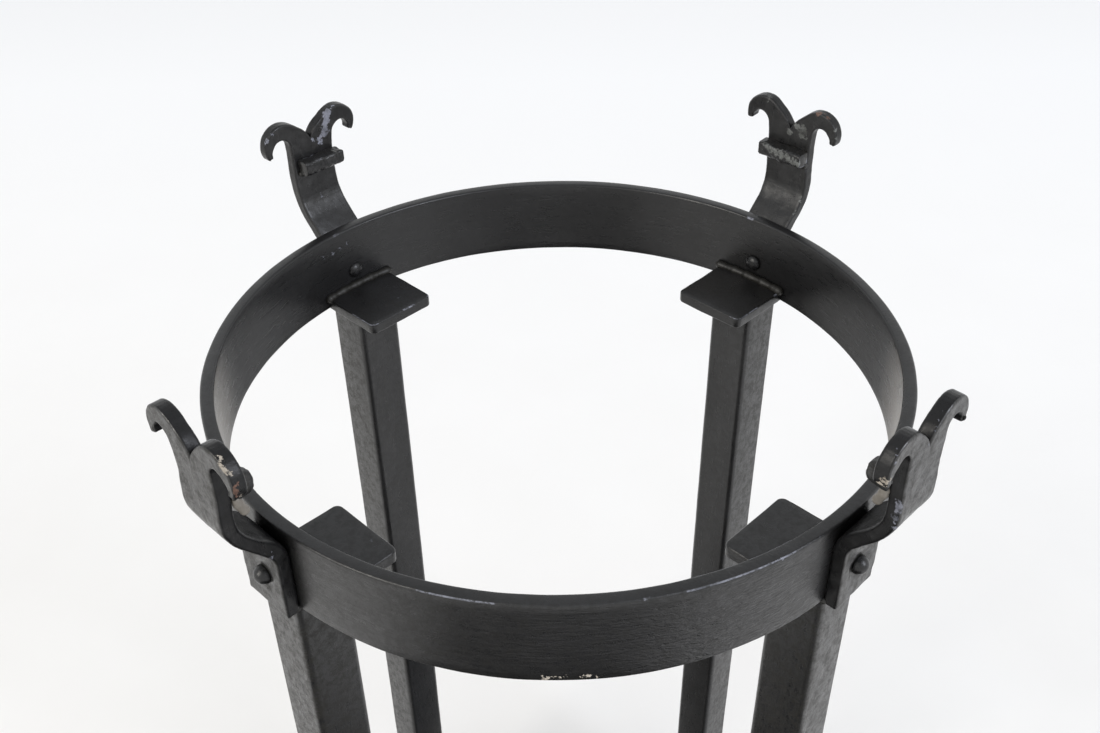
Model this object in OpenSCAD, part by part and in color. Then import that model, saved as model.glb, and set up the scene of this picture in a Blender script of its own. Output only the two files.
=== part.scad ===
// Umbrella stand: a rolled flat-bar ring on four square-tube legs, with four riveted brackets whose
// split tops are forged into ram's horns, and a drip tray that lifts out.
// Origin at the centre of the floor print, +Z up. The legs and brackets stand on the diagonals.
// Heights inside a bracket are measured from the ring's top edge.

/* [Ring] */
// Outside diameter of the top ring
ring_d = 314; // [250:2:400]
// Height of the ring's flat bar
ring_h = 40.5; // [34:0.5:60]
// Thickness of the ring's flat bar
ring_t = 6; // [4:0.5:9]
// Height of the ring's top edge above the floor
ring_top = 550; // [420:5:700]
// Chamfer that stands for the rounded edges of the flat bar
ring_edge = 0.8; // [0.4:0.1:1.2]

/* [Finial brackets] */
// Width of the bracket's flat bar
bar_w = 25; // [20:1:32]
// Thickness of the bracket's flat bar
bar_t = 6; // [4:0.5:8]
// How far the bar reaches below the ring's top edge
tang_drop = 42; // [34:1:50]
// Depth below the ring's top edge where the outward bend starts
bend_start = 13; // [8:1:16]
// Radius of the lower bend at the middle of the bar
low_bend_r = 12; // [8:1:14]
// Radius of the upper bend at the middle of the bar
high_bend_r = 24; // [16:1:25]
// Angle of both bends
bend_angle = 45; // [35:1:48]
// How far the upright stands outside the tang
stand_off = 16; // [14:0.5:22]
// Height of the horns' crests
horn_top = 57.3; // [54:0.1:66]
// How far a horn reaches out past the bar's edge
horn_out = 14.5; // [13:0.5:17]
// Radius of the horn's outer curl
horn_curl_r = 11.5; // [10:0.5:13]
// Radius of the hook inside the curl
hook_r = 4.8; // [4:0.1:6]
// Thickness of the horn at its crest
horn_crest = 8.2; // [5:0.1:9]
// Angle below level where the horn's tip is cut
horn_tip_angle = 24; // [0:1:30]
// Height of the bottom of the notch between the horns
notch_z = 45.5; // [42:0.5:48]
// How much thinner the horns are at their crests than the bar
horn_thin = 0.5; // [0:0.25:3]

/* [Collar bars] */
// Length of a collar bar
collar_len = 26; // [22:1:34]
// Thickness of a collar bar, measured away from the bracket
collar_t = 7.5; // [5:0.5:10]
// Height of a collar bar
collar_h = 7.5; // [6:0.5:12]
// Height of the collar bar's underside
collar_z = 28.5; // [26:0.5:32]
// Chamfer of the collar bar's front edges
collar_edge = 2.4; // [1:0.2:3]

/* [Rivets] */
// Diameter of the rivet's shank
rivet_d = 6; // [4:0.5:8]
// Clearance round the shank, on the diameter
rivet_gap = 0.1; // [0.05:0.05:0.3]
// Diameter of the outer head
rivet_head_d = 9.6; // [8:0.2:13]
// Height of the outer head
rivet_head_h = 3.6; // [2:0.2:5]
// Diameter of the inner head
inner_head_d = 8.6; // [7:0.2:12]
// Height of the inner head
inner_head_h = 2.8; // [1.6:0.2:4]
// Depth of the rivet below the ring's top edge
rivet_drop = 25.5; // [20:0.5:28]

/* [Pads] */
// Width of a pad
pad_w = 40; // [34:1:56]
// Length of a pad, from the ring's inner face to its tip
pad_len = 39; // [30:1:48]
// Thickness of a pad
pad_t = 6; // [3:0.5:8]
// Radius of the pad's two free corners
pad_corner = 4; // [1:0.5:8]
// Leg length of the weld bead between pad and ring
weld_leg = 3.5; // [2:0.5:4]

/* [Legs] */
// Width of the square tube
leg_w = 25; // [20:1:32]
// Wall of the square tube
leg_wall = 1.5; // [1:0.5:3]
// Outside radius of the tube's corners
leg_corner = 3; // [2:0.5:4]
// How far the tube's outer face lies inside the ring's outer face
leg_inset = 0.5; // [0.5:0.5:4]
// Thickness of the end cap's foot
cap_foot = 3; // [2:0.5:6]
// Length of the end cap's plug inside the tube
cap_plug = 20; // [10:1:40]
// Gap between the plug and the tube's wall
cap_gap = 0.2; // [0.1:0.1:0.5]

/* [Cross bars] */
// Width of a cross bar
cross_w = 25; // [16:1:32]
// Thickness of a cross bar
cross_t = 6; // [4:0.5:8]
// Height of the cross bars' top face above the floor
cross_top = 60; // [40:1:90]
// Gap at the sides of the half lap
lap_gap = 0.2; // [0.1:0.1:0.5]

/* [Drip tray] */
// Gap between the tray's rim and the pads' tips as it is lifted out
tray_gap = 8; // [4:1:20]
// Height of the tray
tray_h = 22; // [14:1:40]
// Thickness of the sheet
tray_t = 1.2; // [0.8:0.1:2]
// Radius of the rolled rim
rim_r = 2.4; // [1.6:0.2:3]
// Radius of the bend between the tray's floor and its wall
tray_bend = 6; // [3:0.5:10]
// Diameter of a stud's head
stud_d = 8; // [6:0.5:12]
// Height of a stud above the cross bar
stud_h = 8; // [5:0.5:10]
// Diameter of a stud's shank in the cross bar
stud_shank_d = 5; // [3:0.5:6]
// Gap between the studs and the tray's wall
stud_gap = 1; // [0.5:0.5:3]
// Gap between the cross bars and the tray's floor, taken up by the paint
tray_seat_gap = 0.1; // [0.05:0.05:0.5]

/* [Hidden] */
$fn = 96;
// Amount that a cutting shape runs past what it cuts
past = 1;
// Angle between two points of a drawn arc, and of one with a radius under small_arc
arc_step = 5;
small_arc_step = 15;
small_arc = 5;

ring_r = ring_d / 2;
ring_in = ring_r - ring_t;
ring_bottom = ring_top - ring_h;

// The tang is hollowed by this much to bed on the round ring
tang_bed = ring_r - sqrt(ring_r * ring_r - bar_w * bar_w / 4);
// Height where the upright begins
both_bends = low_bend_r + high_bend_r;
upright_z = -bend_start + both_bends * sin(bend_angle)
    + (stand_off - both_bends * (1 - cos(bend_angle))) / tan(bend_angle);
horn_reach = bar_w / 2 + horn_out;
curl_c = [horn_reach - horn_curl_r, horn_top - horn_curl_r];
hook_c = [bar_w / 2 + hook_r, horn_top - horn_crest - hook_r];

pad_tip = ring_in - pad_len;
leg_out = ring_r - leg_inset;
leg_mid = leg_out - leg_w / 2;
leg_in = leg_out - leg_w;

tray_rim = pad_tip - tray_gap;
tray_wall = tray_rim - 2 * rim_r + tray_t;
stud_pos = tray_wall + stud_gap + stud_d / 2;

// Direction of each corner, seen from above
FRONT_LEFT = 225;
FRONT_RIGHT = 315;
BACK_RIGHT = 45;
BACK_LEFT = 135;
CORNERS = [FRONT_LEFT, FRONT_RIGHT, BACK_RIGHT, BACK_LEFT];

IRON = "#2b2c2e";
RIVET_IRON = "#242527";
PLASTIC = "#18191a";
SHEET = "#34363a";

// Points of an arc about c, from angle a0 to angle a1, both ends included
function arc(c, r, a0, a1) =
    let (step = r < small_arc ? small_arc_step : arc_step)
    let (n = max(2, ceil(abs(a1 - a0) / step)))
    [for (i = [0:n]) c + r * [cos(a0 + (a1 - a0) * i / n), sin(a0 + (a1 - a0) * i / n)]];

// Points of a square with rounded corners about the origin
function round_square(w, r) = [
    for (k = [0:3])
        let (a = 45 + 90 * k, m = (w / 2 - r) * sqrt(2))
        each arc(m * [cos(a), sin(a)], r, a - 45, a + 45)
];

// Direction from c to the point where a line from p touches the circle, on its left side
function touch_angle(p, c, r) =
    let (d = p - c)
    180 + atan2(-d.y, -d.x) - acos(r / norm(d));

// A dome of diameter d and height h that stands on z = 0
module dome(d, h) {
    r = (d * d / 4 + h * h) / (2 * h);
    intersection() {
        translate([0, 0, h - r]) sphere(r = r);
        cylinder(d = d, h = h);
    }
}

// Turns its children to a corner; there X points outwards and Y along the ring
module at_corner(angle) {
    rotate([0, 0, angle]) children();
}

// The same, with the origin on the ring's outer face at the ring's top edge
module at_bracket(angle) {
    at_corner(angle) translate([ring_r, 0, ring_top]) children();
}

// Stands along X through the ring at the rivet's height
module at_rivet(angle) {
    at_bracket(angle) translate([0, 0, -rivet_drop]) rotate([0, 90, 0]) children();
}

module ring_band() {
    e = ring_edge;
    color(IRON) difference() {
        rotate_extrude() translate([ring_in, ring_bottom]) polygon([
            [0, e], [e, 0], [ring_t - e, 0], [ring_t, e],
            [ring_t, ring_h - e], [ring_t - e, ring_h], [e, ring_h], [0, ring_h - e]
        ]);
        for (a = CORNERS)
            at_rivet(a) translate([0, 0, -ring_t - past])
                cylinder(d = rivet_d + rivet_gap, h = ring_t + 2 * past);
    }
}

// Side view of the bar: tang, two bends and the upright, X outwards
module bracket_side() {
    half = bar_t / 2;
    low_c = [half + low_bend_r, -bend_start];
    high_c = [stand_off + half - high_bend_r, upright_z];
    polygon(concat(
        [[bar_t, -tang_drop]],
        arc(low_c, low_bend_r - half, 180, 180 - bend_angle),
        arc(high_c, high_bend_r + half, -bend_angle, 0),
        [[stand_off + bar_t, horn_top + past]],
        [[stand_off + horn_thin, horn_top + past]],
        [[stand_off, collar_z + collar_h]],
        arc(high_c, high_bend_r - half, 0, -bend_angle),
        arc(low_c, low_bend_r + half, 180 - bend_angle, 180),
        [[-tang_bed, -bend_start], [-tang_bed, -tang_drop]]
    ));
}

// Right half of the bracket's face from its foot to the notch, X along the ring and Y up
function half_face() = concat(
    [[bar_w / 2, -tang_drop]],
    arc(hook_c, hook_r, 180, -horn_tip_angle),
    arc(curl_c, horn_curl_r, -horn_tip_angle, touch_angle([0, notch_z], curl_c, horn_curl_r))
);

module bracket_face() {
    right = half_face();
    last = len(right) - 1;
    polygon(concat(right, [[0, notch_z]], [for (i = [0:last]) let (p = right[last - i]) [-p.x, p.y]]));
}

module finial_bracket(angle) {
    color(IRON) difference() {
        at_bracket(angle) intersection() {
            rotate([90, 0, 0]) linear_extrude(height = 2 * horn_reach + 2 * past, center = true)
                bracket_side();
            rotate([90, 0, 90]) translate([0, 0, -past])
                linear_extrude(height = stand_off + bar_t + 2 * past) bracket_face();
        }
        translate([0, 0, ring_bottom - ring_h]) cylinder(r = ring_r, h = 2 * ring_h);
        at_rivet(angle) translate([0, 0, -past]) cylinder(d = rivet_d + rivet_gap, h = bar_t + 2 * past);
    }
}

module collar_bar(angle) {
    e = collar_edge;
    color(IRON) at_bracket(angle) translate([stand_off - collar_t, 0, collar_z]) rotate([90, 0, 0])
        linear_extrude(height = collar_len, center = true) polygon([
            [0, e], [e, 0], [collar_t, 0], [collar_t, collar_h], [e, collar_h], [0, collar_h - e]
        ]);
}

module rivet(angle) {
    // The inner head's rim meets the round inner face of the ring
    seat = ring_r - sqrt(ring_in * ring_in - inner_head_d * inner_head_d / 4);
    // The shank runs this far into both heads, as one forging
    root = min(rivet_head_h, inner_head_h) / 2;
    color(RIVET_IRON) at_rivet(angle) union() {
        translate([0, 0, bar_t]) dome(rivet_head_d, rivet_head_h);
        translate([0, 0, -seat - root]) cylinder(d = rivet_d, h = bar_t + seat + 2 * root);
        translate([0, 0, -seat]) mirror([0, 0, 1]) dome(inner_head_d, inner_head_h);
    }
}

module support_pad(angle) {
    r = pad_corner;
    color(IRON) intersection() {
        at_corner(angle) translate([0, 0, ring_bottom]) linear_extrude(height = pad_t) polygon(concat(
            [[ring_r, -pad_w / 2], [ring_r, pad_w / 2]],
            arc([pad_tip + r, pad_w / 2 - r], r, 90, 180),
            arc([pad_tip + r, r - pad_w / 2], r, 180, 270)
        ));
        translate([0, 0, ring_bottom - past]) cylinder(r = ring_in, h = pad_t + 2 * past);
    }
}

// Fillet weld between the pad's top and the ring's inner face
module pad_weld(angle) {
    half = asin(pad_w / 2 / ring_in);
    color(IRON) rotate([0, 0, angle - half]) rotate_extrude(angle = 2 * half)
        translate([ring_in, ring_bottom + pad_t]) polygon([[0, 0], [0, weld_leg], [-weld_leg, 0]]);
}

module leg_tube(angle) {
    color(IRON) at_corner(angle) translate([leg_mid, 0, cap_foot])
        linear_extrude(height = ring_bottom - cap_foot) difference() {
            polygon(round_square(leg_w, leg_corner));
            polygon(round_square(leg_w - 2 * leg_wall, leg_corner - leg_wall));
        }
}

module leg_cap(angle) {
    plug_w = leg_w - 2 * leg_wall - 2 * cap_gap;
    color(PLASTIC) at_corner(angle) translate([leg_mid, 0, 0]) union() {
        linear_extrude(height = cap_foot) polygon(round_square(leg_w, leg_corner));
        linear_extrude(height = cap_foot + cap_plug) polygon(round_square(plug_w, leg_corner - leg_wall));
    }
}

// A cross bar along the diagonal, notched to half its thickness from the top or from below
module cross_bar(angle, notch_from) {
    notch = cross_w + 2 * lap_gap;
    bottom = cross_top - cross_t;
    color(IRON) at_corner(angle) difference() {
        translate([-leg_in, -cross_w / 2, bottom]) cube([2 * leg_in, cross_w, cross_t]);
        translate([-notch / 2, -notch / 2, bottom + notch_from]) cube([notch, notch, cross_t]);
        for (side = [-1, 1])
            translate([side * stud_pos, 0, bottom - past])
                cylinder(d = stud_shank_d, h = cross_t + 2 * past);
    }
}

// A stud with a domed head; its shank fills the hole in the cross bar
module tray_stud(angle) {
    dome_h = stud_d / 4;
    color(RIVET_IRON) at_corner(angle) translate([stud_pos, 0, cross_top]) union() {
        cylinder(d = stud_d, h = stud_h - dome_h);
        translate([0, 0, stud_h - dome_h]) dome(stud_d, dome_h);
        translate([0, 0, -cross_t]) cylinder(d = stud_shank_d, h = cross_t + dome_h);
    }
}

// A pressed tray with a rolled rim, standing on the cross bars
module drip_tray() {
    out_c = [tray_wall - tray_bend, tray_bend];
    rim_z = tray_h - rim_r;
    color(SHEET) translate([0, 0, cross_top + tray_seat_gap]) rotate_extrude() union() {
        polygon(concat(
            [[0, 0]],
            arc(out_c, tray_bend, -90, 0),
            [[tray_wall, rim_z], [tray_wall - tray_t, rim_z]],
            arc(out_c, tray_bend - tray_t, 0, -90),
            [[0, tray_t]]
        ));
        translate([tray_rim - rim_r, rim_z]) circle(r = rim_r);
    }
}

ring_band();

finial_bracket(FRONT_LEFT);  // finial_bracket_front_left
finial_bracket(FRONT_RIGHT);  // finial_bracket_front_right
finial_bracket(BACK_LEFT);  // finial_bracket_back_left
finial_bracket(BACK_RIGHT);  // finial_bracket_back_right

collar_bar(FRONT_LEFT);  // collar_bar_front_left
collar_bar(FRONT_RIGHT);  // collar_bar_front_right
collar_bar(BACK_LEFT);  // collar_bar_back_left
collar_bar(BACK_RIGHT);  // collar_bar_back_right

rivet(FRONT_LEFT);  // rivet_front_left
rivet(FRONT_RIGHT);  // rivet_front_right
rivet(BACK_LEFT);  // rivet_back_left
rivet(BACK_RIGHT);  // rivet_back_right

support_pad(FRONT_LEFT);  // support_pad_front_left
support_pad(FRONT_RIGHT);  // support_pad_front_right
support_pad(BACK_LEFT);  // support_pad_back_left
support_pad(BACK_RIGHT);  // support_pad_back_right

pad_weld(FRONT_LEFT);  // pad_weld_front_left
pad_weld(FRONT_RIGHT);  // pad_weld_front_right
pad_weld(BACK_LEFT);  // pad_weld_back_left
pad_weld(BACK_RIGHT);  // pad_weld_back_right

leg_tube(FRONT_LEFT);  // leg_tube_front_left
leg_tube(FRONT_RIGHT);  // leg_tube_front_right
leg_tube(BACK_LEFT);  // leg_tube_back_left
leg_tube(BACK_RIGHT);  // leg_tube_back_right

leg_cap(FRONT_LEFT);  // leg_cap_front_left
leg_cap(FRONT_RIGHT);  // leg_cap_front_right
leg_cap(BACK_LEFT);  // leg_cap_back_left
leg_cap(BACK_RIGHT);  // leg_cap_back_right

cross_bar(FRONT_LEFT, cross_t / 2);  // cross_bar_lower
cross_bar(FRONT_RIGHT, -cross_t / 2);  // cross_bar_upper

tray_stud(FRONT_LEFT);  // tray_stud_front_left
tray_stud(FRONT_RIGHT);  // tray_stud_front_right
tray_stud(BACK_LEFT);  // tray_stud_back_left
tray_stud(BACK_RIGHT);  // tray_stud_back_right

drip_tray();
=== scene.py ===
# %% [markdown]
# # An umbrella stand of black enamelled iron
#
# The real stand is smith's work: a flat bar rolled into a ring, four flat bars bent out and up in an S
# and split at the top into ram's horns, rivets, welded pads and square-tube legs, all brushed over with
# black enamel. This lesson models each piece with the operators a person would use by hand, gives it
# the finish of brushed enamel over forged iron, and lights it like a plain studio shot.
#
# Everything is in metres, and every piece keeps its place in its mesh: the object itself stays at the
# origin, so patterns that read Object coordinates sit still on the piece.

# %% Load the fixed frame
import math

import bmesh
import bpy
from mathutils import Matrix, Vector


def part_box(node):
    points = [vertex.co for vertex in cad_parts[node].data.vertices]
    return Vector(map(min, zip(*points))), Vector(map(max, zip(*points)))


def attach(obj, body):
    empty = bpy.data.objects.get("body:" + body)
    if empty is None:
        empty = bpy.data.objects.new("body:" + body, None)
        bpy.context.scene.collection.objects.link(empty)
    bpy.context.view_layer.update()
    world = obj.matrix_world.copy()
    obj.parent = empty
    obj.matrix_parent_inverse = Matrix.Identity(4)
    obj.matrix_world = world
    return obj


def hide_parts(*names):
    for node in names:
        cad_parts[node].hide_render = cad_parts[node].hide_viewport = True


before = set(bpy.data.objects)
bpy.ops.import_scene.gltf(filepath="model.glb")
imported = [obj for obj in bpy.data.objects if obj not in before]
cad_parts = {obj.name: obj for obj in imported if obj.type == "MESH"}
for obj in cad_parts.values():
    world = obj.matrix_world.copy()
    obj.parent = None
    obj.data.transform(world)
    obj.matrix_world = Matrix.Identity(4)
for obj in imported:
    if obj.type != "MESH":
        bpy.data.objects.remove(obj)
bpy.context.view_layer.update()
MM = 0.001

# %% [markdown]
# ## Sizes
#
# Most sizes are read off the frame, so the looks follow the design: the ring's radius and heights, the
# legs and the tray come from the boxes of their nodes. What a box can't tell, such as the radius of a
# bend, is repeated here as a named value, as a smith would chalk it on the bench.

# %% Measure the frame
CORNERS = {"front_left": 225, "front_right": 315, "back_left": 135, "back_right": 45}


def reach(node):
    """Smallest and largest distance of a node's points from the stand's upright axis."""
    far = [math.hypot(v.co.x, v.co.y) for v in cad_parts[node].data.vertices]
    return min(far), max(far)


def heights(node):
    """Lowest and highest point of a node."""
    return [corner.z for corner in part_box(node)]


ring_in, ring_out = reach("ring_band")
ring_low, ring_top = heights("ring_band")
pad_top = heights("support_pad_front_left")[1]
leg_low, leg_high = heights("leg_tube_front_left")
cross_low, cross_high = heights("cross_bar_lower")
tray_low, tray_high = heights("drip_tray")
tray_rim = reach("drip_tray")[1]
pad_tip = reach("support_pad_front_left")[0]
stud_high = heights("tray_stud_front_left")[1]
print("ring radius %.1f mm, top %.1f mm above the floor" % (ring_out / MM, ring_top / MM))

# %% Chalk the bench sizes
BAR_W, BAR_T = 25 * MM, 6 * MM
TANG_DROP, BEND_DROP, STAND_OFF = 42 * MM, 13 * MM, 16 * MM
LOW_BEND_R, HIGH_BEND_R = 12 * MM, 24 * MM
BEND = math.radians(45)
HORN_OUT, HORN_HIGH, NOTCH_HIGH = 14.5 * MM, 57.3 * MM, 45.5 * MM
CURL_R, HOOK_R, CREST_T = 11.5 * MM, 4.8 * MM, 8.2 * MM
TIP_TURN = math.radians(24)
TIP_TAPER, FLANK_SWELL = 1.0 * MM, 0.7 * MM
COLLAR_LEN, COLLAR_T, COLLAR_H, COLLAR_Z = 26 * MM, 7.5 * MM, 7.5 * MM, 28.5 * MM
COLLAR_SHIFT = {"front_left": 0.8 * MM, "front_right": -0.8 * MM, "back_left": -0.9 * MM,
                "back_right": 0.6 * MM}
RIVET_DROP = 25.5 * MM
PAD_W, PAD_CORNER = 40 * MM, 4 * MM
LEG_W, LEG_WALL, LEG_CORNER = 25 * MM, 1.5 * MM, 3 * MM
LEG_MID = sum(math.hypot(*corner.xy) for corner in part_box("leg_tube_front_left")) / 2
LEG_SHIFT = {"front_left": -2.2 * MM, "front_right": 0.7 * MM, "back_left": -1.5 * MM,
             "back_right": 1.3 * MM}
CROSS_W = 25 * MM
RIM_R = 2.4 * MM
print("horns crest %.1f mm above the ring" % (HORN_HIGH / MM))

# %% [markdown]
# ## Camera and light
#
# The stand is seen from a little above, close enough for the ring's near side to look clearly larger
# than its far side. The lens and tilt below give that view. The studio is a pale floor, a bright
# horizon that darkens overhead, and two large soft boxes to the left and right of the camera.

# %% Camera
CAMERA_PLACE = (-3.1 * MM, -434.5 * MM, ring_top + 309.1 * MM)
CAMERA_DOWN = 36.57
CAMERA_ROLL = -0.95
LENS = 38.58

camera_data = bpy.data.cameras.new("camera")
camera_data.lens = LENS
camera_data.sensor_width = 36
camera_data.clip_start = 0.01
camera = bpy.data.objects.new("camera", camera_data)
bpy.context.scene.collection.objects.link(camera)
tilt = Matrix.Rotation(math.radians(90 - CAMERA_DOWN), 4, "X")
roll = Matrix.Rotation(math.radians(CAMERA_ROLL), 4, "Z")
camera.matrix_world = Matrix.Translation(CAMERA_PLACE) @ tilt @ roll
bpy.context.scene.camera = camera
print("camera looks %.1f degrees down" % CAMERA_DOWN)


# %% A colour and a node, each in one call
def colour(code):
    """Linear RGBA of an sRGB hex code such as #1b1c1e."""
    parts = [int(code[i:i + 2], 16) / 255 for i in (1, 3, 5)]
    return [p / 12.92 if p <= 0.04045 else ((p + 0.055) / 1.055) ** 2.4 for p in parts] + [1]


def add(tree, kind, sockets=(), **settings):
    """Adds a shader node, sets its settings and fills its sockets, given by name or in their order. A
    socket takes a value, another socket, or a node, whose first output in use is then meant."""
    node = tree.nodes.new("ShaderNode" + kind)
    for name, value in settings.items():
        setattr(node, name, value)
    for name, value in sockets.items() if isinstance(sockets, dict) else enumerate(sockets):
        if isinstance(value, bpy.types.Node):
            value = next(output for output in value.outputs if output.enabled)
        if isinstance(value, bpy.types.NodeSocket):
            tree.links.new(value, node.inputs[name])
        else:
            node.inputs[name].default_value = value
    return node


# %% World: bright round the horizon, dimmer overhead
HORIZON, OVERHEAD = "#f6f7f7", "#cbcdd0"
world = bpy.data.worlds.new("studio")
world.use_nodes = True
bpy.context.scene.world = world
sky = world.node_tree
sky.nodes.clear()
direction = add(sky, "TexCoord")
height = add(sky, "SeparateXYZ", {"Vector": direction.outputs["Generated"]})
ramp = add(sky, "MapRange", {"Value": height.outputs["Z"], "From Min": 0.25, "From Max": 0.75},
           interpolation_type="SMOOTHSTEP")
shade = add(sky, "Mix",
            {"Factor": ramp.outputs["Result"], "A": colour(HORIZON), "B": colour(OVERHEAD)},
            data_type="RGBA")
glow = add(sky, "Background", {"Color": shade.outputs["Result"], "Strength": 1.1})
add(sky, "OutputWorld", {"Surface": glow.outputs["Background"]})
bpy.context.scene.view_settings.view_transform = "Standard"
print("world made")


# %% Two soft boxes
def soft_box(name, place, size, watts, tint):
    light = bpy.data.lights.new(name, "AREA")
    light.shape = "RECTANGLE"
    light.size, light.size_y = size
    light.energy = watts
    light.color = colour(tint)[:3]
    box = bpy.data.objects.new(name, light)
    bpy.context.scene.collection.objects.link(box)
    box.location = place
    aim = Vector((0, 0, ring_top / 2)) - Vector(place)
    box.rotation_euler = aim.to_track_quat("-Z", "Y").to_euler()


soft_box("soft_box_left", (-2.3, -1.5, 2.3), (1.4, 1.8), 46, "#fffaf2")
soft_box("soft_box_right", (2.3, -1.5, 2.3), (1.4, 1.8), 50, "#f0f4ff")

# %% [markdown]
# A glossy black thing on a white floor mirrors the floor and looks grey. So a black cloth lies in front
# of the stand, as it would in a studio. Only reflections see it: it is hidden from the camera and casts
# no shadow.

# %% Black cloth
CLOTH_MID, CLOTH_W, CLOTH_NEAR, CLOTH_FAR = -0.05, 0.66, -0.78, -0.1
bpy.ops.object.select_all(action="DESELECT")
bpy.ops.mesh.primitive_plane_add(size=1, location=(CLOTH_MID, (CLOTH_NEAR + CLOTH_FAR) / 2, 0.002))
cloth = bpy.context.object
cloth.scale = (CLOTH_W, CLOTH_FAR - CLOTH_NEAR, 1)
bpy.ops.object.transform_apply(location=True, rotation=True, scale=True)
cloth.name = cloth.data.name = "black_cloth"
cloth.visible_camera = cloth.visible_diffuse = cloth.visible_shadow = cloth.visible_transmission = False
felt = bpy.data.materials.new("black_cloth_felt")
felt.use_nodes = True
for socket, value in (("Base Color", colour("#161616")), ("Roughness", 0.9)):
    felt.node_tree.nodes["Principled BSDF"].inputs[socket].default_value = value
cloth.data.materials.append(felt)
print("cloth lies from y %.2f to %.2f m" % (CLOTH_NEAR, CLOTH_FAR))

# %% [markdown]
# ## The hand tools
#
# Each helper is one thing a hand does: choose an object, pick some of its faces, add a modifier and
# apply it. Operators act on all that is selected, so every step first clears the selection and then
# picks by place or by direction.


# %% Choosing, picking and finishing
SHARPEST = math.radians(26)


def only(obj):
    """Leaves edit mode and makes obj the one selected, active object."""
    if bpy.context.mode != "OBJECT":
        bpy.ops.object.mode_set(mode="OBJECT")
    bpy.ops.object.select_all(action="DESELECT")
    obj.select_set(True)
    bpy.context.view_layer.objects.active = obj


def choose(obj, kind, test):
    """In edit mode, selects the vertices, edges or faces that pass the test."""
    bpy.ops.mesh.select_mode(type=kind)
    bpy.ops.mesh.select_all(action="DESELECT")
    shape = bmesh.from_edit_mesh(obj.data)
    for element in {"VERT": shape.verts, "EDGE": shape.edges, "FACE": shape.faces}[kind]:
        element.select = test(element)
    shape.select_flush_mode()
    bmesh.update_edit_mesh(obj.data)


def pick(obj, kind, test):
    """Selects the elements whose middle and direction (a normal, or an edge's run) pass the test."""
    measures = {
        "VERT": lambda v: (v.co, v.normal),
        "EDGE": lambda e: ((e.verts[0].co + e.verts[1].co) / 2, (e.verts[1].co - e.verts[0].co).normalized()),
        "FACE": lambda f: (f.calc_center_median(), f.normal),
    }
    choose(obj, kind, lambda element: test(*measures[kind](element)))


def edit(obj):
    """Opens obj in edit mode with all of it selected."""
    only(obj)
    bpy.ops.object.mode_set(mode="EDIT")
    bpy.ops.mesh.select_all(action="SELECT")


def close(obj):
    """Leaves edit mode with doubles merged and the faces pointing out."""
    bpy.ops.mesh.select_mode(type="VERT")
    bpy.ops.mesh.select_all(action="SELECT")
    bpy.ops.mesh.remove_doubles(threshold=0.01 * MM)
    bpy.ops.mesh.normals_make_consistent(inside=False)
    bpy.ops.object.mode_set(mode="OBJECT")


def settle(obj, name):
    """Names a new primitive and puts its place, turn and scale into its mesh."""
    only(obj)
    bpy.ops.object.transform_apply(location=True, rotation=True, scale=True)
    obj.name = obj.data.name = name
    return obj


def block(name, place, size):
    """A cube stretched to a size, with its middle at a place."""
    bpy.ops.mesh.primitive_cube_add(size=1, location=place)
    bpy.context.object.scale = size
    return settle(bpy.context.object, name)


def modify(obj, kind, **settings):
    """Adds a modifier, sets it and applies it."""
    only(obj)
    step = obj.modifiers.new(kind.lower(), kind)
    for name, value in settings.items():
        setattr(step, name, value)
    bpy.ops.object.modifier_apply(modifier=step.name)


def round_edges(obj, width, segments=3, angle=40):
    """Rounds the outward edges that are sharper than angle. Inward corners stay as crisp as a chisel
    leaves them."""
    edit(obj)
    choose(obj, "EDGE", lambda e: e.calc_face_angle_signed(0) > math.radians(angle))
    bpy.ops.mesh.bevel(offset=width, segments=segments, affect="EDGES")
    close(obj)


def smooth(obj, angle=50):
    only(obj)
    bpy.ops.object.shade_smooth_by_angle(angle=math.radians(angle))


def join(name, pieces):
    """Joins pieces into one object."""
    only(pieces[0])
    for piece in pieces:
        piece.select_set(True)
    bpy.ops.object.join()
    pieces[0].name = pieces[0].data.name = name
    return pieces[0]


def keep_at_points(obj, name, value_of):
    """Keeps a value at each point of obj, worked out from the point, for the finish to read by name."""
    shape = bmesh.new()
    shape.from_mesh(obj.data)
    values = [min(1, max(0, value_of(v))) for v in shape.verts]
    shape.free()
    kept = obj.data.attributes.get(name) or obj.data.attributes.new(name, "FLOAT", "POINT")
    kept.data.foreach_set("value", values)


def mark_edges(obj):
    """Marks how sharp the outward corner is at each point, so that the finish can wear on it."""
    keep_at_points(obj, "edge_wear", lambda v: max([e.calc_face_angle_signed(0) for e in v.link_edges] or [0])
                   / SHARPEST)


def mark_flanks(obj):
    """Marks the narrow sides of a bar that runs up and out, so that the finish can mirror less there, which
    paints shade into them, and keep most of its dust and ridges off them.
    """
    keep_at_points(obj, "flank",
                   lambda v: 4 * (math.hypot(v.normal.y, v.normal.z) ** 2 - abs(v.normal.x) - 0.1))


def copies_at_corners(pattern, stem, by_hand=None):
    """One copy of a piece at each corner, each with its own mesh. The pattern points along +X. A step
    by_hand may change each copy before it is turned to its corner."""
    made = {}
    mark_edges(pattern)
    for corner, degrees in CORNERS.items():
        copy = pattern.copy()
        copy.data = pattern.data.copy()
        copy.name = copy.data.name = "%s_%s" % (stem, corner)
        bpy.context.scene.collection.objects.link(copy)
        if by_hand:
            by_hand(copy, corner)
        copy.data.transform(Matrix.Rotation(math.radians(degrees), 4, "Z"))
        made[corner] = copy
    bpy.data.objects.remove(pattern)
    return made


print("tools ready")

# %% [markdown]
# ## The unevenness of forged bar
#
# No face of a hammered bar is quite flat. A cloud texture moves each face in and out by a few tenths of
# a millimetre over the length of a hammer mark, so that reflections waver as they do on the real bar.
# Real geometry is better here than bump alone, because the outline wavers too.


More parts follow.
